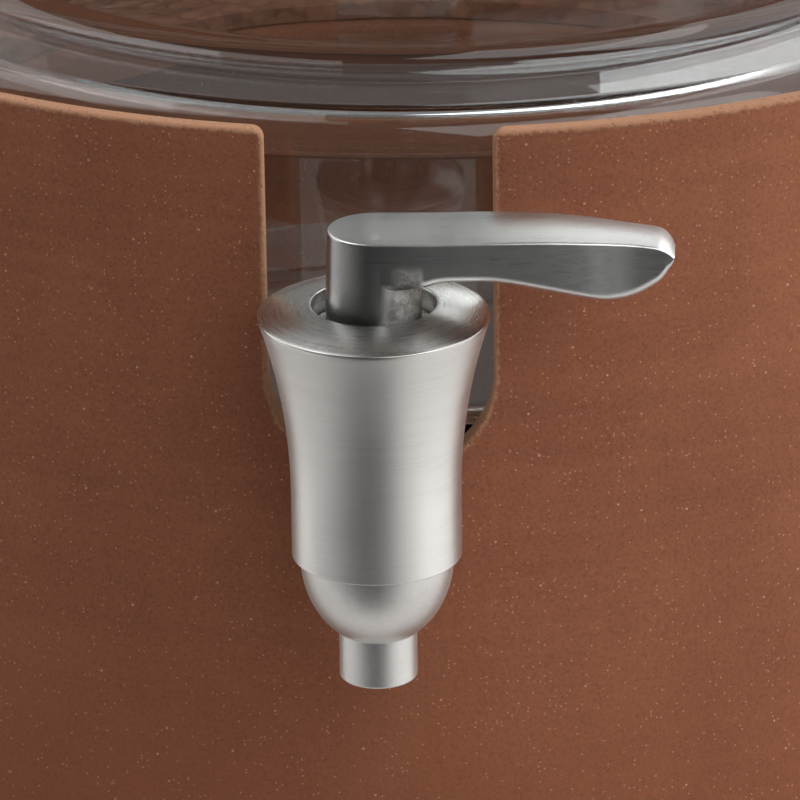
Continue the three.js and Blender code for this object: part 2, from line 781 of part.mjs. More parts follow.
const [upperSealZ, lowerSealZ] = plugSealHeights();
const tapGroup = new THREE.Group();
tapGroup.position.set(0, -tapReach, tapZ);
tapGroup.add(meshOf('tap_body', tapBody(), steel));
tapGroup.add(meshOf('outlet_bowl', outletBowl(), steel));
tapGroup.add(meshOf('bowl_seal', bowlSeal(), rubber));
tapGroup.add(meshOf('gland_ring', glandRing(), steel));
tapGroup.add(meshOf('valve_plug', valvePlug(), steel));
tapGroup.add(meshOf('plug_seal_upper', sealRing(plugRadius, plugSealThickness, upperSealZ, 20), rubber));
tapGroup.add(meshOf('plug_seal_lower', sealRing(plugRadius, plugSealThickness, lowerSealZ, 20), rubber));
tapGroup.add(meshOf('lever', lever(), steel));
tapGroup.add(meshOf('lever_screw', leverScrew(), steel));
tapGroup.add(meshOf('inlet_seat', inletSeat(), fluoropolymer));
tapGroup.add(meshOf('threaded_shank', threadedShank(), steel));
tapGroup.add(meshOf('outer_gasket', outerGasket(), silicone));
tapGroup.add(meshOf('inner_gasket', innerGasket(), silicone));
tapGroup.add(meshOf('shank_washer', shankWasher(), steel));
tapGroup.add(meshOf('shank_nut', shankNut(), steel));

const group = new THREE.Group();
group.add(standGroup);
group.add(jarGroup);
group.add(lidGroup);
group.add(tapGroup);

export default group;
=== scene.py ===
import json
import math

import bmesh
import bpy
from mathutils import Matrix, Vector


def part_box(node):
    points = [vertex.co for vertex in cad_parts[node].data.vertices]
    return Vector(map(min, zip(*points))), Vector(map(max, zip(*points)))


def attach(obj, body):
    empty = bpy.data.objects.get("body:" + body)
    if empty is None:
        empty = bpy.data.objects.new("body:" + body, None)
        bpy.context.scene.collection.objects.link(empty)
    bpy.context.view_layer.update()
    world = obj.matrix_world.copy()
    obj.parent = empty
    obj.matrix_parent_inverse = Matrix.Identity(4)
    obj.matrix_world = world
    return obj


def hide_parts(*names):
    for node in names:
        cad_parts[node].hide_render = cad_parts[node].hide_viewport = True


# A glass drinks jar let into a notched terracotta stand, with a steel quarter-turn tap on its front.
# Metres, +Z up, the tap towards -Y and its closed lever along +X.
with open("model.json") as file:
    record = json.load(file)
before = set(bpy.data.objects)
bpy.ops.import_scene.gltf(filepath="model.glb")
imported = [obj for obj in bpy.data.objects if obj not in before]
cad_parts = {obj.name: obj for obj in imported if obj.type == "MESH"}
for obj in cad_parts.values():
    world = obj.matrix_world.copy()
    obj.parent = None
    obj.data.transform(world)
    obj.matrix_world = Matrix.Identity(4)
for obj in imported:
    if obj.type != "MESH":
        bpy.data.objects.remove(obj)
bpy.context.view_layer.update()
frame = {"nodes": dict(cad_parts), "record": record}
nodes = frame["nodes"]
bpy.ops.object.select_all(action="DESELECT")
mm = 0.001

# Camera. A long lens in front of the tap, a little to the right and above it, tilted by less than a degree.
# Its numbers aren't round, because they were fitted to the rim, the flange and the spout in the photograph.
camera_target = Vector((2.91, -120, 168.86)) * mm
camera_distance = 1228.3 * mm
camera_turn = math.radians(3.14)
camera_rise = math.radians(22.34)
camera_tilt = math.radians(-0.724)
camera_lens = 386.4
backward = Vector((
    math.sin(camera_turn) * math.cos(camera_rise),
    -math.cos(camera_turn) * math.cos(camera_rise),
    math.sin(camera_rise),
))
level = Vector((math.cos(camera_turn), math.sin(camera_turn), 0))
upward = backward.cross(level)
camera_right = math.cos(camera_tilt) * level + math.sin(camera_tilt) * upward
camera_up = math.cos(camera_tilt) * upward - math.sin(camera_tilt) * level
camera_place = camera_target + camera_distance * backward
camera = bpy.data.objects.new("camera", bpy.data.cameras.new("camera"))
bpy.context.scene.collection.objects.link(camera)
camera.data.sensor_width = 36
camera.data.lens = camera_lens
camera.matrix_world = Matrix((camera_right, camera_up, backward)).transposed().to_4x4()
camera.location = camera_place
bpy.context.scene.camera = camera

# Terracotta stand. A pot of fine unglazed clay, its wall thinning to the rim, with a ledge inside for the
# jar. The notch for the tap is cut while the clay is leather-hard, and its edges and the rim are wiped round
# with a sponge, which brings up the pale sand. Their pale band is also a painted highlight on the rounded
# edges.
stand_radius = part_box("terracotta_stand")[1].x
stand_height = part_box("terracotta_stand")[1].z
cork_gap = 0.3 * mm
ledge_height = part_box("cork_seat_ring")[0].z - cork_gap
stand_wall = 6 * mm
stand_rim_wall = 2.8 * mm
stand_floor = 8 * mm
stand_foot_round = 3 * mm
ledge_width = 24 * mm
ledge_thickness = 8 * mm
ledge_haunch = 12 * mm
ledge_nose_round = 2.5 * mm
stand_floor_round = 10 * mm
notch_half = 16.3 * mm
notch_height = 171.9 * mm
notch_corner_round = 1.7 * mm
stand_edge_round = 0.65 * mm
stand_sides = 192
notch_sides = 128
cutter_margin = 6 * mm


# Mesh helpers. They stand for the steps of a modeller at work: start on a piece, pick some of its edges or
# faces, round them, draw them out or widen them, stop, and cut or join whole pieces.
def start_editing(piece):
    bpy.context.view_layer.objects.active = piece
    piece.select_set(True)
    bpy.ops.object.mode_set(mode="EDIT")
    bpy.context.tool_settings.mesh_select_mode = (True, False, False)
    bpy.ops.mesh.select_all(action="DESELECT")


def stop_editing():
    bpy.ops.object.mode_set(mode="OBJECT")
    bpy.ops.object.select_all(action="DESELECT")


def pick(kind, wanted):
    """Selects the vertices, edges or faces of the edited mesh that a test wants, and nothing else."""
    modes = {"VERT": (True, False, False), "EDGE": (False, True, False), "FACE": (False, False, True)}
    bpy.context.tool_settings.mesh_select_mode = modes[kind]
    bpy.ops.mesh.select_all(action="DESELECT")
    sheet = bmesh.from_edit_mesh(bpy.context.object.data)
    members = {"VERT": sheet.verts, "EDGE": sheet.edges, "FACE": sheet.faces}[kind]
    for member in members:
        if wanted(member):
            member.select_set(True)
    bmesh.update_edit_mesh(bpy.context.object.data)


def middle(edge):
    return (edge.verts[0].co + edge.verts[1].co) / 2


def is_sharp(edge, degrees=30):
    return len(edge.link_faces) == 2 and edge.calc_face_angle(0) > math.radians(degrees)


def bevel(width, segments):
    bpy.ops.mesh.bevel(offset=width, segments=segments, loop_slide=False, clamp_overlap=False)


def extrude(step):
    bpy.ops.mesh.extrude_region_move(TRANSFORM_OT_translate={"value": step})


def widen(from_radius, to_radius, height=0):
    """Brings what is picked from one radius round the upright axis to another."""
    share = to_radius / from_radius
    bpy.ops.transform.resize(value=(share, share, 1), center_override=(0, 0, height))


def apply_modifier(piece, kind, **settings):
    bpy.context.view_layer.objects.active = piece
    modifier = piece.modifiers.new(kind.lower(), kind)
    for name, value in settings.items():
        setattr(modifier, name, value)
    bpy.ops.object.modifier_apply(modifier=modifier.name)


def combine(piece, other, operation):
    """Cuts, joins or crosses a piece with another, and removes the other."""
    apply_modifier(piece, "BOOLEAN", object=other, operation=operation, solver="EXACT")
    bpy.data.objects.remove(other)


def smooth(piece, degrees=30):
    """Shades smooth below an angle, with normals that follow the large faces across the rounded edges."""
    bpy.context.view_layer.objects.active = piece
    piece.select_set(True)
    bpy.ops.object.shade_smooth_by_angle(angle=math.radians(degrees))
    bpy.ops.object.select_all(action="DESELECT")
    apply_modifier(piece, "WEIGHTED_NORMAL", keep_sharp=True, weight=100)


bpy.ops.mesh.primitive_cylinder_add(
    vertices=stand_sides, radius=stand_radius, depth=stand_height, location=(0, 0, stand_height / 2))
pot = bpy.context.object
pot.name = "terracotta_pot"
bpy.ops.object.transform_apply(location=True, rotation=False, scale=False)
wall_inside = stand_radius - stand_wall
ledge_inside = wall_inside - ledge_width
haunch_inside = wall_inside - ledge_haunch
# The pot is hollowed from the top: down the wall, in over the ledge, down its nose, back out under it, down
# the haunch to the wall again, and down to the floor. An extrusion of no length starts a flat ring.
start_editing(pot)
pick("FACE", lambda face: face.normal.z > 0.9)
bpy.ops.mesh.inset(thickness=stand_rim_wall)
extrude((0, 0, ledge_height - stand_height))
widen(stand_radius - stand_rim_wall, wall_inside, ledge_height)
bpy.ops.mesh.inset(thickness=ledge_width)
extrude((0, 0, -ledge_thickness))
extrude((0, 0, 0))
widen(ledge_inside, haunch_inside)
extrude((0, 0, -ledge_haunch))
widen(haunch_inside, wall_inside)
extrude((0, 0, stand_floor + ledge_haunch + ledge_thickness - ledge_height))
pick("EDGE", lambda edge: middle(edge).z < mm and is_sharp(edge))
bevel(stand_foot_round, 5)
pick("EDGE", lambda edge: abs(middle(edge).z - stand_floor) < mm and is_sharp(edge))
bevel(stand_floor_round, 6)
pick("EDGE", lambda edge: abs(middle(edge).z - ledge_height) < mm and is_sharp(edge)
     and middle(edge).to_2d().length < ledge_inside + mm)
bevel(ledge_nose_round, 4)
stop_editing()

# The notch's cutter is a round bar whose upper half is drawn up past the rim, so that it cuts a U.
bpy.ops.mesh.primitive_circle_add(
    vertices=notch_sides, radius=notch_half, fill_type="NGON", location=(0, 0, 0),
    rotation=(math.pi / 2, 0, 0))
cutter = bpy.context.object
bpy.ops.object.transform_apply(location=True, rotation=True, scale=True)
start_editing(cutter)
pick("VERT", lambda vert: vert.co.z > -1e-6)
bpy.ops.transform.translate(value=(0, 0, stand_height - notch_height))
pick("FACE", lambda face: True)
bpy.ops.transform.translate(value=(0, stand_wall - stand_radius + cutter_margin, notch_height))
extrude((0, -2 * stand_wall - cutter_margin, 0))
bpy.ops.mesh.select_all(action="SELECT")
bpy.ops.mesh.normals_make_consistent(inside=False)
stop_editing()
combine(pot, cutter, "DIFFERENCE")

start_editing(pot)
pick("EDGE", lambda edge: abs(middle(edge).z - stand_height) < 0.01 * mm and middle(edge).y < 0
     and abs(abs(middle(edge).x) - notch_half) < 0.1 * mm
     and abs(edge.verts[0].co.y - edge.verts[1].co.y) > mm)
bevel(notch_corner_round, 6)
pick("EDGE", lambda edge: middle(edge).z > ledge_height + 2 * mm and is_sharp(edge, 50))
bevel(stand_edge_round, 4)
stop_editing()
smooth(pot, 35)


# Material helpers. They add nodes to a material's tree and hand back the socket that holds the result. A
# place is in metres from the piece's origin, so a pattern of scale 1000 has features of about 1 mm.
def add_material(name):
    """A new material with its Principled shader, as the node tree and the shader."""
    material = bpy.data.materials.new(name)
    material.use_nodes = True
    return material, material.node_tree, material.node_tree.nodes["Principled BSDF"]


def put(tree, kind, inputs=None, **settings):
    """Adds a shader node. Inputs are given by socket identifier, as a value or as the socket to link."""
    node = tree.nodes.new("ShaderNode" + kind)
    for name, value in settings.items():
        setattr(node, name, value)
    set_inputs(tree, node, inputs or {})
    return node


def set_inputs(tree, node, inputs):
    for name, value in inputs.items():
        socket = next(s for s in node.inputs if s.identifier == name)
        if isinstance(value, bpy.types.NodeSocket):
            tree.links.new(value, socket)
        else:
            socket.default_value = value


def calc(tree, operation, first, second=0.0, third=0.0):
    inputs = {"Value": first, "Value_001": second, "Value_002": third}
    return put(tree, "Math", inputs, operation=operation).outputs[0]


def fade(tree, value, from_low, from_high, to_low=0.0, to_high=1.0):
    """A smooth step from one level to another, as a value runs between two limits."""
    inputs = {
        "Value": value, "From Min": from_low, "From Max": from_high, "To Min": to_low, "To Max": to_high,
    }
    return put(tree, "MapRange", inputs, interpolation_type="SMOOTHSTEP").outputs[0]


def vector_calc(tree, operation, first, second=(0, 0, 0)):
    inputs = {"Vector": first, "Vector_001": second}
    return put(tree, "VectorMath", inputs, operation=operation).outputs[0]


def length_of(tree, vector):
    return put(tree, "VectorMath", {"Vector": vector}, operation="LENGTH").outputs["Value"]


def axes_of(tree, vector):
    """The X, Y and Z of a vector, as a set of sockets."""
    return put(tree, "SeparateXYZ", {"Vector": vector}).outputs


def combined(tree, x, y, z):
    return put(tree, "CombineXYZ", {"X": x, "Y": y, "Z": z}).outputs[0]


def blend_colours(tree, share, first, second):
    inputs = {"Factor_Float": share, "A_Color": first, "B_Color": second}
    return put(tree, "Mix", inputs, data_type="RGBA").outputs[2]


def cell_value(tree, cells):
    """A number between 0 and 1 for each cell of a cell pattern."""
    return put(tree, "SeparateColor", {"Color": cells.outputs["Color"]}).outputs["Red"]


def object_place(tree):
    return put(tree, "TexCoord").outputs["Object"]


def place_from(tree, centre):
    """The place on the piece, measured from a centre of its own."""
    inputs = {"Vector": object_place(tree), "Location": tuple(-c for c in centre)}
    return put(tree, "Mapping", inputs).outputs[0]


def stretched(tree, place, scale):
    """The place on the piece, multiplied by a scale for each axis, for a pattern with a direction."""
    return put(tree, "Mapping", {"Vector": place, "Scale": scale}).outputs[0]


def noise(tree, place, scale, detail=2.0, roughness=0.5):
    inputs = {"Vector": place, "Scale": scale, "Detail": detail, "Roughness": roughness}
    return put(tree, "TexNoise", inputs).outputs["Fac"]


def specks(tree, place, scale, size, share):
    """Scattered grains: cells of a given scale, of which a share holds a grain of a given size."""
    cells = put(tree, "TexVoronoi", {"Vector": place, "Scale": scale})
    held = calc(tree, "LESS_THAN", cell_value(tree, cells), share)
    near = fade(tree, cells.outputs["Distance"], size, size * 0.5)
    return calc(tree, "MULTIPLY", near, held)


def bump(tree, height, distance, strength=1.0, base=None):
    inputs = {"Height": height, "Distance": distance, "Strength": strength}
    if base is not None:
        inputs["Normal"] = base
    return put(tree, "Bump", inputs).outputs[0]


black = (0, 0, 0, 1)
clay_dark = (0.200, 0.070, 0.036, 1)
clay_warm = (0.256, 0.094, 0.048, 1)
clay_red = (0.19, 0.059, 0.0265, 1)
sand_and_highlight_tone = (0.34, 0.175, 0.10, 1)
clay_grit = (0.56, 0.34, 0.24, 1)
clay_pit = (0.10, 0.04, 0.024, 1)
terracotta, tree, shader = add_material("terracotta")
place = object_place(tree)
mottle = noise(tree, place, 14, 4, 0.6)
wheel_lines = noise(tree, stretched(tree, place, (8, 8, 420)), 1, 3)
smudges = noise(tree, stretched(tree, place, (60, 60, 38)), 1, 4, 0.65)
grain = noise(tree, place, 1900, 3, 0.7)
body_share = calc(tree, "MULTIPLY_ADD", wheel_lines, 0.35, calc(tree, "MULTIPLY_ADD", smudges, 0.6, mottle))
clay = blend_colours(tree, fade(tree, body_share, 0.65, 1.25), clay_dark, clay_warm)
clay = blend_colours(tree, fade(tree, grain, 0.35, 0.68, 0.80, 1.18), black, clay)
axes = axes_of(tree, place)
clay = blend_colours(tree, fade(tree, axes["Z"], 150 * mm, 70 * mm, 0.0, 0.6), clay, clay_red)
# How far each point is from the rim or from the notch's edge, whichever is nearer, made ragged.
below_rim = calc(tree, "SUBTRACT", stand_height, axes["Z"])
below_centre = calc(tree, "MINIMUM", calc(tree, "SUBTRACT", axes["Z"], notch_height), 0.0)
from_notch = length_of(tree, combined(tree, axes["X"], 0.0, below_centre))
from_notch = calc(tree, "SUBTRACT", from_notch, notch_half)
behind = calc(tree, "MAXIMUM", axes["Y"], 0.0)
from_notch = calc(tree, "ADD", from_notch, behind)
from_edge = calc(tree, "MINIMUM", below_rim, from_notch)
ragged = calc(tree, "MULTIPLY_ADD", noise(tree, place, 900, 3, 0.7), 1.4 * mm, -0.7 * mm)
from_edge = calc(tree, "ADD", from_edge, ragged)
# Pale sand along the rim and the notch's edges, which is partly a painted highlight where the rounded edges
# catch the light.
sand_and_painted_highlight = fade(tree, from_edge, 1.0 * mm, 0.2 * mm)
clay = blend_colours(tree, calc(tree, "MULTIPLY", sand_and_painted_highlight, 0.92), clay, sand_and_highlight_tone)
grit = specks(tree, place, 620, 0.16, 0.10)
fine_grit = specks(tree, place, 1300, 0.24, 0.34)
clay = blend_colours(tree, calc(tree, "MULTIPLY", grit, 0.6), clay, clay_grit)
clay = blend_colours(tree, calc(tree, "MULTIPLY", fine_grit, 0.4), clay, clay_grit)
near_edge = fade(tree, from_edge, 3.5 * mm, 1.0 * mm, 0.0, 0.35)
pits = put(tree, "TexVoronoi", {"Vector": place, "Scale": 900}).outputs["Distance"]
pits = calc(tree, "MULTIPLY", fade(tree, pits, 0.24, 0.12), near_edge)
clay = blend_colours(tree, pits, clay, clay_pit)
coarse = noise(tree, place, 650, 4, 0.75)
relief = calc(tree, "MULTIPLY_ADD", grain, 0.5, calc(tree, "MULTIPLY_ADD", grit, 0.8, coarse))
relief = calc(tree, "SUBTRACT", relief, pits)
relief = calc(tree, "MULTIPLY", relief, calc(tree, "MULTIPLY_ADD", sand_and_painted_highlight, 1.6, 1.0))
relief = calc(tree, "MULTIPLY_ADD", wheel_lines, 0.5, relief)
set_inputs(tree, shader, {
    "Base Color": clay,
    "Normal": bump(tree, relief, 0.09 * mm),
    "Roughness": 0.93,
    "Specular IOR Level": 0.25,
})
pot.data.materials.append(terracotta)
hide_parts("terracotta_stand")
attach(pot, "stand")

# Cork ring. Pressed from cork granules and cut from sheet, it lies on the ledge and carries the glass.
# Its colour is darker than new cork, a painted shade to match the shaded, even brown behind the glass base.
cork, tree, shader = add_material("pressed_cork")
place = object_place(tree)
granules = put(tree, "TexVoronoi", {"Vector": place, "Scale": 420})
tone = cell_value(tree, granules)
# Painted shade: the cork's browns are darker than new cork.
cork_colour = blend_colours(tree, tone, (0.15, 0.062, 0.038, 1), (0.27, 0.12, 0.075, 1))
seams = fade(tree, granules.outputs["Distance"], 0.55, 0.8, 0.0, 0.6)
cork_colour = blend_colours(tree, seams, cork_colour, (0.07, 0.028, 0.018, 1))
set_inputs(tree, shader, {
    "Base Color": cork_colour,
    "Normal": bump(tree, granules.outputs["Distance"], 0.15 * mm, 0.5),
    "Roughness": 0.88,
})


def refine(node, name, material, edge_round=0.0, segments=2):
    """A smooth copy of a small piece of the frame, with its edges eased, in place of that piece."""
    copy = bpy.data.objects.new(name, nodes[node].data.copy())
    bpy.context.scene.collection.objects.link(copy)
    copy.data.materials.clear()
    start_editing(copy)
    bpy.ops.mesh.select_all(action="SELECT")
    bpy.ops.mesh.remove_doubles(threshold=0.001 * mm)
    bpy.ops.mesh.dissolve_limited(angle_limit=math.radians(0.5))
    if edge_round:
        pick("EDGE", lambda edge: is_sharp(edge, 40))
        bevel(edge_round, segments)
    stop_editing()
    smooth(copy, 32)
    copy.data.materials.append(material)
    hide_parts(node)
    record_body = next(b for b, members in frame["record"]["behaviour"]["bodies"].items() if node in members)
    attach(copy, record_body)


refine("cork_seat_ring", "cork_ring", cork, 0.3 * mm)

# Glass jar. Blown into a mould in one piece: a wide drum that stands on the cork, a narrower body above it,
# a round shoulder, a short neck and a fire-polished bead at the mouth. The tap's hole is drilled.
jar_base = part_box("glass_jar")[0].z
jar_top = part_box("glass_jar")[1].z
drum_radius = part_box("glass_jar")[1].x
drum_height = 55 * mm
drum_top_round = 5.5 * mm
drum_base_round = 6 * mm
drum_corner_round = 5 * mm
drum_heel_round = 4.2 * mm
glass_wall = 3.5 * mm
glass_base = 5 * mm
body_radius = 84 * mm
body_fillet = 3 * mm
shoulder_round = 24 * mm
neck_fillet = 4 * mm
neck_radius = 56 * mm
neck_length = 9 * mm
mouth_bead = 2.8 * mm
shank_height = notch_height
glass_hole_radius = 6.3 * mm
glass_hole_round = 0.4 * mm
near_glass_hole = 8 * mm
drill_length = 20 * mm
jar_sides = 240


def arc(centre_r, centre_z, radius, from_degrees, to_degrees, steps):
    """Points of a round stretch in a turned piece's outline, as distance from the axis and height."""
    points = []
    for i in range(steps + 1):
        angle = math.radians(from_degrees + (to_degrees - from_degrees) * i / steps)
        points.append((centre_r + radius * math.cos(angle), centre_z + radius * math.sin(angle)))
    return points


def turn(name, outline, sides, centre=(0, 0, 0), closed=False):
    """Draws an outline point by point and spins it round an upright axis. Heights are above the centre."""
    bpy.ops.mesh.primitive_plane_add(size=mm, location=(0, 0, 0))
    piece = bpy.context.object
    piece.name = name
    start_editing(piece)
    bpy.ops.mesh.select_all(action="SELECT")
    bpy.ops.mesh.merge(type="CENTER")
    here = Vector(centre)
    first = here + Vector((outline[0][0], 0, outline[0][1]))
    bpy.ops.transform.translate(value=first)
    for (r, z), (next_r, next_z) in zip(outline, outline[1:]):
        bpy.ops.mesh.extrude_vertices_move(TRANSFORM_OT_translate={"value": (next_r - r, 0, next_z - z)})
    if closed:
        last = here + Vector((outline[-1][0], 0, outline[-1][1]))
        ends = (first, last)
        pick("VERT", lambda vert: any((vert.co - end).length < 1e-6 for end in ends))
        bpy.ops.mesh.edge_face_add()
    bpy.ops.mesh.select_all(action="SELECT")
    bpy.ops.mesh.spin(steps=sides, angle=2 * math.pi, center=centre, axis=(0, 0, 1))
    bpy.ops.mesh.select_all(action="SELECT")
    bpy.ops.mesh.remove_doubles(threshold=0.002 * mm)
    bpy.ops.mesh.normals_make_consistent(inside=False)
    stop_editing()
    return piece


drum_top = jar_base + drum_height
shoulder_height = jar_top - mouth_bead - neck_length - neck_fillet - shoulder_round
neck_height = shoulder_height + shoulder_round + neck_fillet
mouth_radius = neck_radius - glass_wall
bead_centre = mouth_radius + mouth_bead
bead_height = jar_top - mouth_bead
bead_start = -math.degrees(math.acos((neck_radius - bead_centre) / mouth_bead))
shoulder_centre = body_radius - shoulder_round
fillet_centre = (body_radius + body_fillet, drum_top + body_fillet)
drum_inside = drum_radius - glass_wall
floor_height = jar_base + glass_base
vessel = turn("glass_vessel", [
    (0, jar_base),
    *arc(drum_radius - drum_base_round, jar_base + drum_base_round, drum_base_round, -90, 0, 10),
    *arc(drum_radius - drum_top_round, drum_top - drum_top_round, drum_top_round, 0, 90, 14),
    *arc(*fillet_centre, body_fillet, 270, 180, 8),
    *arc(shoulder_centre, shoulder_height, shoulder_round, 0, 90, 20),
    *arc(neck_radius + neck_fillet, neck_height, neck_fillet, 270, 180, 8),
    *arc(bead_centre, bead_height, mouth_bead, bead_start, 180, 16),
    *arc(neck_radius + neck_fillet, neck_height, neck_fillet + glass_wall, 180, 270, 10),
    *arc(shoulder_centre, shoulder_height, shoulder_round - glass_wall, 90, 0, 20),
    *arc(*fillet_centre, body_fillet + glass_wall, 180, 270, 10),
    *arc(drum_inside - drum_heel_round, drum_top - glass_wall - drum_heel_round, drum_heel_round, 90, 0, 10),
    *arc(drum_inside - drum_corner_round, floor_height + drum_corner_round, drum_corner_round, 0, -90, 10),
    (0, floor_height),
], jar_sides)
bpy.ops.mesh.primitive_cylinder_add(
    vertices=64, radius=glass_hole_radius, depth=drill_length, location=(0, -drum_radius, shank_height),
    rotation=(math.pi / 2, 0, 0))
combine(vessel, bpy.context.object, "DIFFERENCE")
start_editing(vessel)
pick("EDGE", lambda edge: is_sharp(edge, 40) and middle(edge).y < 0
     and abs(middle(edge).x) < near_glass_hole and abs(middle(edge).z - shank_height) < near_glass_hole)
bevel(glass_hole_round, 3)
stop_editing()
smooth(vessel, 40)

# The glass is wavier underneath, where it cooled on the mould's plate. Shadow rays pass straight through it.
clear_glass, tree, shader = add_material("clear_glass")
place = object_place(tree)
waves = noise(tree, stretched(tree, place, (12, 12, 30)), 1, 2)
underside = fade(tree, axes_of(tree, place)["Z"], jar_base + 2.5 * mm, jar_base + 0.5 * mm, 1.0, 5.0)
set_inputs(tree, shader, {
    "Base Color": (0.965, 0.98, 0.978, 1),
    "Roughness": 0.0,
    "IOR": 1.5,
    "Transmission Weight": 1.0,
    "Normal": bump(tree, calc(tree, "MULTIPLY", waves, underside), 0.6 * mm, 0.5),
})
output = tree.nodes["Material Output"]
for_shadows = put(tree, "LightPath").outputs["Is Shadow Ray"]
clear = put(tree, "BsdfTransparent", {"Color": (0.86, 0.88, 0.87, 1)}).outputs[0]
mixed = put(tree, "MixShader", {"Fac": for_shadows, "Shader": shader.outputs[0], "Shader_001": clear})
tree.links.new(mixed.outputs[0], output.inputs["Surface"])
vessel.data.materials.append(clear_glass)
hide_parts("glass_jar")
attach(vessel, "jar")

# Tap body. Turned from a stainless steel casting and brushed round its axis: a crowned flange, a waist that
# draws in, and a straight thin skirt. A boss at the back takes the shank, and a bore takes the plug.
tap_y = -131.5 * mm
tap_z = 186.7 * mm
tap_place = (0, tap_y, tap_z)
flange_radius = 16.5 * mm
flange_lip = 0.55 * mm
flange_crown = 1.7 * mm
flange_hole = 8.9 * mm
waist_radius = 12.15 * mm
waist_depth = 27 * mm
skirt_depth = 36.6 * mm
skirt_wall = 0.85 * mm
gland_depth = 5.3 * mm
plug_seat_depth = 23 * mm
passage_depth = 26 * mm
passage_radius = 4.4 * mm
plug_bore = 6.3 * mm
boss_radius = 8.5 * mm
boss_start = 7.2 * mm
boss_reach = 23.6 * mm
shank_bore = 6.3 * mm
lip_step = 0.12 * mm
flange_edge_round = 0.16 * mm
skirt_edge_round = 0.2 * mm
crown_fullness = 0.48
tap_sides = 160
inward = flange_radius - lip_step - waist_radius
curve_depth = waist_depth - flange_lip
curve_radius = (inward ** 2 + curve_depth ** 2) / (2 * inward)
curve_degrees = math.degrees(math.asin(curve_depth / curve_radius))
crown_points = []
for i in range(13):
    across = i / 12
    crown_points.append((
        flange_hole + (flange_radius - flange_hole) * across,
        flange_crown * (1 - across) * (1 + crown_fullness * across),
    ))
skirt_bore = waist_radius - skirt_wall
tap_body = turn("tap_body_turned", [
    *crown_points,
    *arc(waist_radius + curve_radius, -waist_depth, curve_radius, 180 - curve_degrees, 180, 36),
    (waist_radius, -skirt_depth),
    (skirt_bore, -skirt_depth),
    (skirt_bore, -passage_depth),
    (passage_radius, -passage_depth),
    (passage_radius, -plug_seat_depth),
    (plug_bore, -plug_seat_depth),
    (plug_bore, -gland_depth),
    (flange_hole, -gland_depth),
], tap_sides, tap_place, closed=True)
start_editing(tap_body)
pick("EDGE", lambda edge: is_sharp(edge, 40) and middle(edge).z > tap_z - 4 * mm)
bevel(flange_edge_round, 3)
pick("EDGE", lambda edge: is_sharp(edge, 40) and middle(edge).z < tap_z - skirt_depth + mm)
bevel(skirt_edge_round, 3)
stop_editing()


def rod_along_tap(radius, from_reach, to_reach):
    """A round rod along Y at the shank's height, between two distances behind the tap's axis."""
    bpy.ops.mesh.primitive_cylinder_add(
        vertices=96, radius=radius, depth=to_reach - from_reach,
        location=(0, tap_y + (from_reach + to_reach) / 2, shank_height), rotation=(math.pi / 2, 0, 0))
    bpy.ops.object.transform_apply(location=True, rotation=True, scale=True)
    return bpy.context.object


combine(tap_body, rod_along_tap(boss_radius, boss_start, boss_reach), "UNION")
combine(tap_body, rod_along_tap(shank_bore, 0, boss_reach + 4 * mm), "DIFFERENCE")
bpy.ops.mesh.primitive_cylinder_add(
    vertices=tap_sides, radius=plug_bore, depth=plug_seat_depth - gland_depth,
    location=(0, tap_y, tap_z - (plug_seat_depth + gland_depth) / 2))
combine(tap_body, bpy.context.object, "DIFFERENCE")
smooth(tap_body, 30)


def brushed_steel(name, colour, roughness, fine=1.0, along=False, smoother_top=0.0):
    """Brushed steel, its hair lines running round the tap's axis, or along X if it was brushed lengthwise.

    Round the axis, a hair line is a line of equal height plus radius, so it goes round a flat top as well.
    """
    material, tree, shader = add_material(name)
    place = place_from(tree, tap_place)
    axes = axes_of(tree, place)
    if along:
        lines = stretched(tree, place, (24, 4200, 4200))
        tangent = combined(tree, 1.0, 0.0, 0.0)
    else:
        radius = length_of(tree, vector_calc(tree, "MULTIPLY", place, (1, 1, 0)))
        down_the_side = calc(tree, "ADD", axes["Z"], radius)
        lines = stretched(tree, combined(tree, axes["X"], axes["Y"], down_the_side), (60, 60, 4200))
        tangent = vector_calc(tree, "CROSS_PRODUCT", (0, 0, 1), place)
        tangent = vector_calc(tree, "NORMALIZE", tangent)
    tangent = put(
        tree, "VectorTransform", {"Vector": tangent}, vector_type="VECTOR",
        convert_from="OBJECT", convert_to="WORLD").outputs[0]
    hairs = noise(tree, lines, 1, 3, 0.6)
    cloud = noise(tree, place, 130, 3, 0.55)
    tone = calc(tree, "MULTIPLY_ADD", hairs, 0.36 * fine, calc(tree, "MULTIPLY_ADD", cloud, 0.16, 0.74))
    gloss = calc(tree, "MULTIPLY_ADD", hairs, 0.14 * fine, roughness - 0.07 * fine)
    gloss = calc(tree, "MULTIPLY_ADD", cloud, 0.06, gloss)
    gloss = calc(tree, "SUBTRACT", gloss, fade(tree, axes["Z"], -0.7 * mm, -0.3 * mm, 0.0, smoother_top))
    set_inputs(tree, shader, {
        "Base Color": blend_colours(tree, tone, black, colour),
        "Metallic": 1.0,
        "Roughness": gloss,
        "Anisotropic": 0.6,
        "Anisotropic Rotation": 0.25,
        "Tangent": tangent,
        "Normal": bump(tree, hairs, 0.0035 * mm * fine),
    })
    return material, tree, shader


def linked_to(shader, name):
    """The socket that feeds an input of a shader."""
    return shader.inputs[name].links[0].from_socket


# The flange's top is polished a little more than the sides, and painted shade darkens its colour towards the
# front.
body_steel, tree, shader = brushed_steel(
    "steel_brushed_round", (0.66, 0.65, 0.63, 1), 0.38, smoother_top=0.13)
axes = axes_of(tree, place_from(tree, tap_place))
on_flange = fade(tree, axes["Z"], -0.25 * mm, 0.0)
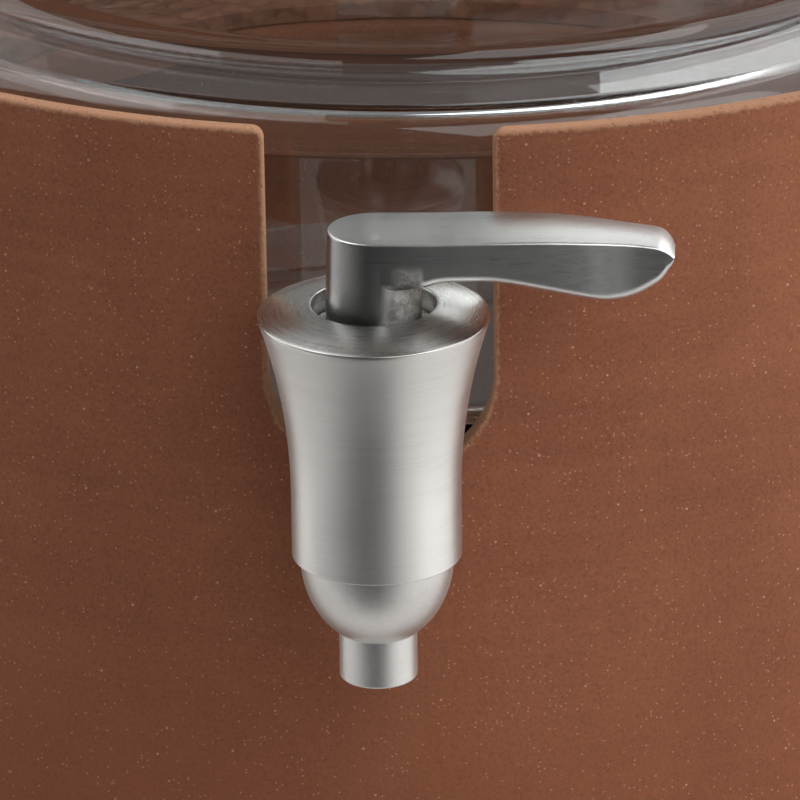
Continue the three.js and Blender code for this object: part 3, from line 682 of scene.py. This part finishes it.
# Painted shade: the flange's top is coloured darker towards the front.
painted_shade = calc(tree, "MULTIPLY", fade(tree, axes["Y"], 1 * mm, -10 * mm, 0.0, 0.4), on_flange)
body_colour_with_painted_shade = blend_colours(tree, painted_shade, linked_to(shader, "Base Color"), (0.03, 0.03, 0.03, 1))
set_inputs(tree, shader, {"Base Color": body_colour_with_painted_shade})
tap_body.data.materials.append(body_steel)
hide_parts("tap_body")
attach(tap_body, "jar")

# Outlet bowl. A steel bowl screwed up into the skirt on a rubber ring, drawn down into the spout.
# It is blasted and only lightly brushed, so it is duller than the body.
bowl_gap = 0.3 * mm
bowl_radius = skirt_bore - bowl_gap
bowl_depth = 13.4 * mm
bowl_wall = 3.2 * mm
bowl_top = -passage_depth - bowl_gap
bowl_turn = -skirt_depth - bowl_gap
spout_radius = 5.6 * mm
spout_bore = 4.3 * mm
spout_drop = 11.9 * mm
spout_length = 7.1 * mm
spout_edge_round = 0.35 * mm
spout_top = -skirt_depth - spout_drop
spout_tip = spout_top - spout_length
chamber = bowl_radius - bowl_wall


def bowl_curve(radius, depth, end_radius, steps):
    """Points of a bowl's outline, an ellipse that runs down from its widest place to a smaller radius."""
    end_angle = math.acos(end_radius / radius)
    points = []
    for i in range(steps + 1):
        angle = end_angle * i / steps
        points.append((radius * math.cos(angle), bowl_turn - depth * math.sin(angle)))
    return points


bowl_outside = bowl_curve(bowl_radius, bowl_depth, spout_radius, 28)
bowl_outside.reverse()
outlet = turn("outlet_bowl_turned", [
    (chamber, bowl_top),
    *bowl_curve(chamber, bowl_depth - bowl_wall, spout_bore, 16),
    (spout_bore, spout_tip),
    (spout_radius, spout_tip),
    (spout_radius, spout_top),
    *bowl_outside,
    (bowl_radius, bowl_top),
], 128, tap_place, closed=True)
start_editing(outlet)
pick("EDGE", lambda edge: is_sharp(edge, 50) and middle(edge).z < tap_z + spout_tip + mm)
bevel(spout_edge_round, 3)
stop_editing()
smooth(outlet, 30)
bowl_steel, tree, shader = add_material("steel_blasted")
place = place_from(tree, tap_place)
grains = noise(tree, place, 1500, 3, 0.65)
cloud = noise(tree, place, 160, 4, 0.6)
hairs = noise(tree, stretched(tree, place, (70, 70, 2400)), 1, 3)
tone = calc(tree, "MULTIPLY_ADD", grains, 0.18, calc(tree, "MULTIPLY_ADD", cloud, 0.2, 0.72))
set_inputs(tree, shader, {
    "Base Color": blend_colours(tree, tone, black, (0.74, 0.73, 0.71, 1)),
    "Metallic": 1.0,
    "Roughness": calc(tree, "MULTIPLY_ADD", grains, 0.12, 0.34),
    "Normal": bump(tree, calc(tree, "ADD", grains, hairs), 0.008 * mm),
})
outlet.data.materials.append(bowl_steel)
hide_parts("outlet_bowl")
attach(outlet, "jar")

# Lever. An upright stem with a blade-like arm, cast in one and ground smooth, with a crisp edge round its
# top. The corner under the arm keeps the pitted skin of the casting. Each row below is a section of the arm:
# how far along it is, then its width, its top and its bottom, as shares of the lever's reach, width and rise.
stem_foot_radius = 6.8 * mm
stem_top_radius = 6.45 * mm
lever_rise = 14.2 * mm
lever_reach = 42.5 * mm
lever_width = 13 * mm
arm_crown = 0.5 * mm
arm_edge_round = 0.38 * mm
arm_lower_round = 1.7 * mm
tip_start = 0.93
tip_narrowing = 0.67
stem_foot_depth = 3.2 * mm
plug_neck_radius = 3.6 * mm
plug_neck_gap = 0.3 * mm
plug_neck_rise = 8.4 * mm
grub_hole_radius = 1.6 * mm
grub_hole_length = 10 * mm
grub_hole_rise = 4.5 * mm
arm_section_shares = [
    (0, 1, 0.945, 0.36),
    (0.16, 1, 0.95, 0.42),
    (0.22, 1, 0.953, 0.47),
    (0.3, 1, 0.96, 0.49),
    (0.42, 0.98, 0.968, 0.483),
    (0.58, 0.92, 0.965, 0.39),
    (0.7, 0.84, 0.946, 0.308),
    (0.78, 0.76, 0.925, 0.268),
    (0.86, 0.69, 0.9, 0.305),
    (0.93, 0.67, 0.873, 0.415),
    (0.96, 0.65, 0.848, 0.492),
    (0.982, 0.575, 0.81, 0.596),
    (0.994, 0.48, 0.775, 0.671),
    (1, 0.395, 0.752, 0.728),
]


def arm_section(half_width, top, bottom):
    """One section across the arm, anticlockwise from its lowest right point, with eased corners."""
    room = min(half_width, (top - bottom) / 2) * 0.9
    upper = min(arm_edge_round, room)
    lower = min(arm_lower_round, room)
    crown = arm_crown * half_width / (lever_width / 2)
    edge = top - crown
    right = arc(half_width - lower, bottom + lower, lower, -90, 0, 8)
    right += arc(half_width - upper, edge - upper, upper, 0, 86, 6)
    for i in range(1, 6):
        y = (half_width - upper) * (1 - i / 5)
        right.append((y, edge + crown * (1 - (y / (half_width - upper)) ** 2)))
    left = [(-y, z) for y, z in reversed(right[:-1])]
    return right + left


def between(table, row, share):
    """A smooth curve through the rows of a table, a share of the way from one row to the next."""
    rows = [table[max(0, min(len(table) - 1, row + k))] for k in (-1, 0, 1, 2)]
    values = []
    for a, b, c, d in zip(*rows):
        slope_in = (c - a) / 2
        slope_out = (d - b) / 2
        t = share
        values.append(
            (2 * t ** 3 - 3 * t ** 2 + 1) * b + (t ** 3 - 2 * t ** 2 + t) * slope_in
            + (3 * t ** 2 - 2 * t ** 3) * c + (t ** 3 - t ** 2) * slope_out)
    return values


stations = []
for row in range(len(arm_section_shares) - 1):
    for step in range(4):
        stations.append(between(arm_section_shares, row, step / 4))
stations.append(arm_section_shares[-1])
rings = []
for along, width, top, bottom in stations:
    section = arm_section(width * lever_width / 2, top * lever_rise, bottom * lever_rise)
    bpy.ops.mesh.primitive_circle_add(vertices=len(section), radius=mm)
    ring = bpy.context.object
    # The tip narrows from behind only, so its front stays straight.
    forward = max(0, tip_narrowing - width) * lever_width / 2 if along > tip_start else 0
    for vert, (y, z) in zip(ring.data.vertices, section):
        vert.co = (along * lever_reach, tap_y + y - forward, tap_z + z)
    rings.append(ring)
for ring in rings:
    ring.select_set(True)
lever = rings[0]
bpy.context.view_layer.objects.active = lever
bpy.ops.object.join()
lever.name = "lever_cast"
start_editing(lever)
bpy.ops.mesh.select_all(action="SELECT")
bpy.ops.mesh.bridge_edge_loops()
for end in (0, lever_reach):
    pick("EDGE", lambda edge: len(edge.link_faces) == 1 and abs(middle(edge).x - end) < 0.01 * mm)
    bpy.ops.mesh.edge_face_add()
bpy.ops.mesh.select_all(action="SELECT")
bpy.ops.mesh.normals_make_consistent(inside=False)
stop_editing()
stem_top = arm_section_shares[0][2] * lever_rise - arm_crown
stem_crown = []
for share in (0.75, 0.5, 0.25, 0):
    stem_crown.append((stem_top_radius * share, stem_top + arm_crown * (1 - share ** 2)))
stem = turn("lever_stem", [
    (0, -stem_foot_depth),
    (stem_foot_radius, -stem_foot_depth),
    (stem_foot_radius, flange_crown),
    *arc(stem_top_radius - arm_edge_round, stem_top - arm_edge_round, arm_edge_round, 0, 86, 6),
    *stem_crown,
], 128, tap_place)
combine(lever, stem, "UNION")
bpy.ops.mesh.primitive_cylinder_add(
    vertices=48, radius=plug_neck_radius + plug_neck_gap, depth=2 * plug_neck_rise, location=tap_place)
combine(lever, bpy.context.object, "DIFFERENCE")
bpy.ops.mesh.primitive_cylinder_add(
    vertices=32, radius=grub_hole_radius, depth=grub_hole_length,
    location=(0, tap_y + grub_hole_length / 2, tap_z + grub_hole_rise), rotation=(math.pi / 2, 0, 0))
combine(lever, bpy.context.object, "DIFFERENCE")
start_editing(lever)
bpy.ops.mesh.select_all(action="SELECT")
bpy.ops.mesh.remove_doubles(threshold=0.002 * mm)
stop_editing()
smooth(lever, 30)

# The cast skin is left between a slanting line on the stem and the arm's underside.
lever_steel, tree, shader = brushed_steel(
    "steel_brushed_along", (0.66, 0.66, 0.65, 1), 0.27, 0.9, along=True)
place = place_from(tree, tap_place)
axes = axes_of(tree, place)
pitting = noise(tree, place, 520, 4, 0.7)
ragged = calc(tree, "MULTIPLY_ADD", noise(tree, place, 260, 3, 0.6), 2.4 * mm, -1.2 * mm)
skin_line = calc(tree, "MULTIPLY_ADD", axes["Z"], 0.2, 1.5 * mm)
from_left = calc(tree, "SUBTRACT", calc(tree, "ADD", axes["X"], ragged), skin_line)
under_arm = fade(tree, calc(tree, "ADD", axes["Z"], ragged), 9.9 * mm, 8.3 * mm)
near_stem = fade(tree, axes["X"], 7.6 * mm, 6.6 * mm)
cast_skin = calc(tree, "MULTIPLY", under_arm, near_stem)
cast_skin = calc(tree, "MULTIPLY", fade(tree, from_left, -0.9 * mm, 0.9 * mm), cast_skin)
skin_tone = fade(tree, pitting, 0.36, 0.66)
skin_colour = blend_colours(tree, skin_tone, (0.15, 0.145, 0.135, 1), (0.36, 0.35, 0.33, 1))
skin_height = calc(tree, "MULTIPLY", pitting, cast_skin)
# Painted shade: the ground steel's colour is darkened round the stem and at the arm's root, but not on the
# top.
below_top = fade(tree, axes["Z"], 12.95 * mm, 12.7 * mm)
painted_shade = calc(tree, "MULTIPLY", fade(tree, axes["X"], 10 * mm, -1 * mm, 0.0, 0.55), below_top)
ground_colour_with_painted_shade = blend_colours(tree, painted_shade, linked_to(shader, "Base Color"), (0.02, 0.02, 0.02, 1))
set_inputs(tree, shader, {
    "Base Color": blend_colours(tree, cast_skin, ground_colour_with_painted_shade, skin_colour),
    "Metallic": calc(tree, "MULTIPLY_ADD", cast_skin, -0.3, 1.0),
    "Roughness": calc(tree, "MULTIPLY_ADD", cast_skin, 0.35, linked_to(shader, "Roughness")),
    "Normal": bump(tree, skin_height, 0.1 * mm, 1.0, linked_to(shader, "Normal")),
})
lever.data.materials.append(lever_steel)
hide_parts("lever")
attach(lever, "tap_lever")

# Plug, its two ring seals, the ring that holds it down and the grub screw in the lever. All but the ring
# are out of sight. The ring is rough and stained where it lies in the gap round the stem.
turned_steel = brushed_steel("steel_turned", (0.62, 0.61, 0.59, 1), 0.3, 1.2)[0]
black_rubber, tree, shader = add_material("black_rubber")
place = object_place(tree)
dust = noise(tree, place, 700, 3, 0.6)
set_inputs(tree, shader, {
    "Base Color": blend_colours(tree, dust, (0.012, 0.012, 0.013, 1), (0.035, 0.035, 0.036, 1)),
    "Roughness": calc(tree, "MULTIPLY_ADD", dust, 0.2, 0.5),
    "Normal": bump(tree, dust, 0.01 * mm),
})
stained_steel, tree, shader = add_material("steel_stained")
place = object_place(tree)
crust = noise(tree, place, 1300, 4, 0.75)
lumps = noise(tree, place, 420, 3, 0.6)
worn = fade(tree, crust, 0.35, 0.65)
set_inputs(tree, shader, {
    "Base Color": blend_colours(tree, worn, (0.16, 0.15, 0.14, 1), (0.62, 0.61, 0.58, 1)),
    "Metallic": 1.0,
    "Roughness": calc(tree, "MULTIPLY_ADD", crust, 0.3, 0.3),
    "Normal": bump(tree, calc(tree, "ADD", crust, lumps), 0.16 * mm),
})
refine("gland_ring", "gland_ring_worn", stained_steel, 0.25 * mm, 3)
refine("valve_plug", "valve_plug_turned", turned_steel, 0.1 * mm)
refine("plug_seal_upper", "plug_seal_upper_ring", black_rubber)
refine("plug_seal_lower", "plug_seal_lower_ring", black_rubber)
refine("bowl_seal", "bowl_seal_ring", black_rubber)
refine("lever_screw", "lever_grub_screw", turned_steel, 0.1 * mm)

# Shank and what is on it. A hollow threaded screw holds the tap to the glass, with a silicone gasket on each
# face of the wall and a washer and a hexagon nut inside the jar.
silicone, tree, shader = add_material("silicone")
place = object_place(tree)
haze = noise(tree, place, 260, 3)
set_inputs(tree, shader, {
    "Base Color": blend_colours(tree, haze, (0.66, 0.66, 0.64, 1), (0.78, 0.78, 0.76, 1)),
    "Roughness": calc(tree, "MULTIPLY_ADD", haze, 0.15, 0.38),
    "Subsurface Weight": 0.25,
    "Subsurface Radius": (0.004, 0.004, 0.004),
    "Normal": bump(tree, haze, 0.03 * mm),
})
white_plastic, tree, shader = add_material("white_plastic")
place = object_place(tree)
haze = noise(tree, place, 900, 3)
set_inputs(tree, shader, {
    "Base Color": blend_colours(tree, haze, (0.74, 0.74, 0.72, 1), (0.84, 0.84, 0.82, 1)),
    "Roughness": calc(tree, "MULTIPLY_ADD", haze, 0.2, 0.3),
})
refine("inlet_seat", "inlet_seat_ring", white_plastic, 0.1 * mm)
refine("outer_gasket", "outer_gasket_ring", silicone, 0.2 * mm)
refine("inner_gasket", "inner_gasket_ring", silicone, 0.2 * mm)
refine("shank_washer", "shank_washer_plain", turned_steel, 0.15 * mm)
refine("shank_nut", "shank_nut_hexagon", turned_steel, 0.15 * mm)
# The thread is relief in the material. Its height follows how far along and how far round the shank a point
# is, so the ridge winds, and it is kept off the bore.
thread_pitch = 1.25 * mm
threaded_steel, tree, shader = add_material("steel_threaded")
axes = axes_of(tree, place_from(tree, (0, tap_y, shank_height)))
round_axis = calc(tree, "DIVIDE", calc(tree, "ARCTAN2", axes["X"], axes["Z"]), 2 * math.pi)
turns = calc(tree, "ADD", calc(tree, "DIVIDE", axes["Y"], thread_pitch), round_axis)
ridge = calc(tree, "MULTIPLY", calc(tree, "PINGPONG", turns, 0.5), 2.0)
radius = length_of(tree, combined(tree, axes["X"], 0.0, axes["Z"]))
ridge = calc(tree, "MULTIPLY", ridge, fade(tree, radius, 5.2 * mm, 5.6 * mm))
# Painted shade: the thread's grooves are coloured darker than its crests.
set_inputs(tree, shader, {
    "Base Color": blend_colours(tree, ridge, (0.30, 0.295, 0.285, 1), (0.60, 0.59, 0.57, 1)),
    "Metallic": 1.0,
    "Roughness": calc(tree, "MULTIPLY_ADD", ridge, -0.1, 0.4),
    "Normal": bump(tree, ridge, 0.5 * mm),
})
refine("threaded_shank", "threaded_shank_hollow", threaded_steel, 0.1 * mm)

# Lid. A disc turned from oiled hardwood, with a plug that drops into the mouth and a groove for its seal.
# The grain runs along X. Its growth rings wander, and its pores are long and fine.
oiled_wood, tree, shader = add_material("oiled_wood")
place = object_place(tree)
drift = put(tree, "TexNoise", {"Vector": place, "Scale": 9.0, "Detail": 2.0}).outputs["Color"]
drift = vector_calc(tree, "MULTIPLY", drift, (12 * mm, 12 * mm, 12 * mm))
drifted = vector_calc(tree, "ADD", place, drift)
rings_of_growth = put(tree, "TexWave", {
    "Vector": stretched(tree, drifted, (1, 9, 9)), "Scale": 9.0, "Distortion": 2.2, "Detail": 3.0,
    "Detail Scale": 1.4,
}, wave_type="RINGS", rings_direction="X").outputs["Fac"]
pores = noise(tree, stretched(tree, place, (60, 1500, 1500)), 1, 3, 0.6)
wood_colour = blend_colours(tree, rings_of_growth, (0.20, 0.093, 0.040, 1), (0.42, 0.235, 0.115, 1))
wood_colour = blend_colours(tree, fade(tree, pores, 0.62, 0.75, 0, 0.6), wood_colour, (0.09, 0.04, 0.018, 1))
set_inputs(tree, shader, {
    "Base Color": wood_colour,
    "Roughness": calc(tree, "MULTIPLY_ADD", rings_of_growth, 0.12, 0.42),
    "Normal": bump(tree, calc(tree, "MULTIPLY_ADD", rings_of_growth, 0.4, pores), 0.05 * mm),
})
refine("lid", "lid_turned", oiled_wood, 0.4 * mm)
refine("lid_seal", "lid_seal_ring", silicone, 0.2 * mm)
refine("lid_knob", "lid_knob_turned", turned_steel)
refine("knob_screw", "knob_screw_plain", turned_steel, 0.1 * mm)

# Floor and light. A pale floor, which far away turns into an even backdrop, a large soft lamp on each side,
# smaller ones in front and above, and two behind, which the flange and the lever's top mirror.
floor_tone = (0.62, 0.61, 0.60, 1)
floor_size = 8
floor_drop = 0.2 * mm
backdrop_start = 0.6
backdrop_full = 1.9
bpy.ops.mesh.primitive_plane_add(size=floor_size, location=(0, 0, -floor_drop))
floor = bpy.context.object
floor.name = "floor"


def seen_directly(tree):
    """1 for what the camera sees, straight or through clear glass, and 0 for what lights the object."""
    rays = put(tree, "LightPath").outputs
    unreflected = calc(tree, "LESS_THAN", rays["Glossy Depth"], 0.5)
    through_glass = calc(tree, "MULTIPLY", rays["Is Transmission Ray"], unreflected)
    return calc(tree, "MAXIMUM", rays["Is Camera Ray"], through_glass)


floor_material, tree, shader = add_material("pale_floor")
away = length_of(tree, object_place(tree))
backdrop = calc(tree, "MULTIPLY", fade(tree, away, backdrop_start, backdrop_full), seen_directly(tree))
set_inputs(tree, shader, {
    "Base Color": blend_colours(tree, backdrop, floor_tone, black),
    "Emission Color": floor_tone,
    "Emission Strength": backdrop,
    "Roughness": 0.8,
    "Specular IOR Level": 0.2,
})
floor.data.materials.append(floor_material)


def add_lamp(name, turn_degrees, rise_degrees, distance, width, height, power, through_glass=False):
    """A soft lamp that faces the tap, placed by its turn from the front and its rise.

    The lamps behind the jar are seen through glass, because the tap's steel mirrors them through the jar.
    """
    aim = Vector((0, -60 * mm, 190 * mm))
    turn_angle = math.radians(turn_degrees)
    rise = math.radians(rise_degrees)
    away = Vector((
        math.sin(turn_angle) * math.cos(rise), -math.cos(turn_angle) * math.cos(rise), math.sin(rise)))
    lamp = bpy.data.objects.new(name, bpy.data.lights.new(name, "AREA"))
    bpy.context.scene.collection.objects.link(lamp)
    lamp.data.shape = "RECTANGLE"
    lamp.data.size = width
    lamp.data.size_y = height
    lamp.data.energy = power
    lamp.visible_transmission = through_glass
    lamp.location = aim + away * distance
    lamp.rotation_euler = away.to_track_quat("Z", "Y").to_euler()


add_lamp("right_lamp", 96, 28, 1.1, 1.8, 1.8, 23)
add_lamp("left_lamp", -110, 30, 1.1, 1.1, 1.8, 11.5)
add_lamp("front_lamp", 40, 40, 1.3, 1.2, 1.0, 9)
add_lamp("top_lamp", -95, 66, 1.2, 0.9, 0.7, 3)
add_lamp("back_lamp", 153, 24, 1.0, 0.9, 0.7, 3.7, True)
add_lamp("back_fill", -160, 24, 1.0, 0.9, 0.6, 0.22, True)

# Grey card. It lies on the floor in front of the stand and only reflections see it, so it keeps the middle
# of the steel dark. It is darkest straight ahead of the tap and pales to the floor's own tone on both sides.
card_half_width = 1.6
card_front = -1.6
card_back = -0.24
card_height = 2 * mm
card_corners = (
    (-card_half_width, card_front), (card_half_width, card_front),
    (-card_half_width, card_back), (card_half_width, card_back))
bpy.ops.mesh.primitive_plane_add(size=1, location=(0, 0, card_height))
card = bpy.context.object
card.name = "grey_card"
bpy.ops.object.transform_apply(location=True, rotation=False, scale=False)
for vert, (x, y) in zip(card.data.vertices, card_corners):
    vert.co.x = x
    vert.co.y = y
card.visible_camera = False
card.visible_diffuse = False
card.visible_shadow = False
card.visible_transmission = False
card_material, tree, shader = add_material("grey_card")
axes = axes_of(tree, object_place(tree))
ahead = calc(tree, "SUBTRACT", tap_y, axes["Y"])
aside = calc(tree, "ARCTAN2", axes["X"], ahead)
to_left = fade(tree, aside, math.radians(-8), math.radians(-88))
to_right = fade(tree, aside, math.radians(8), math.radians(58))
paleness = calc(tree, "MAXIMUM", to_left, to_right)
set_inputs(tree, shader, {
    "Base Color": blend_colours(tree, paleness, (0.056, 0.056, 0.056, 1), floor_tone),
    "Roughness": 1.0,
    "Specular IOR Level": 0.0,
})
card.data.materials.append(card_material)

# World. A dim even surround, which lights the object a little from every side. Where it is seen directly it
# has the floor's tone, so nothing behind the object stands out.
world = bpy.data.worlds.new("surround")
bpy.context.scene.world = world
world.use_nodes = True
tree = world.node_tree
surround = blend_colours(tree, seen_directly(tree), (0.11, 0.11, 0.11, 1), floor_tone)
set_inputs(tree, tree.nodes["Background"], {"Color": surround, "Strength": 1.0})
bpy.context.scene.view_settings.view_transform = "Standard"
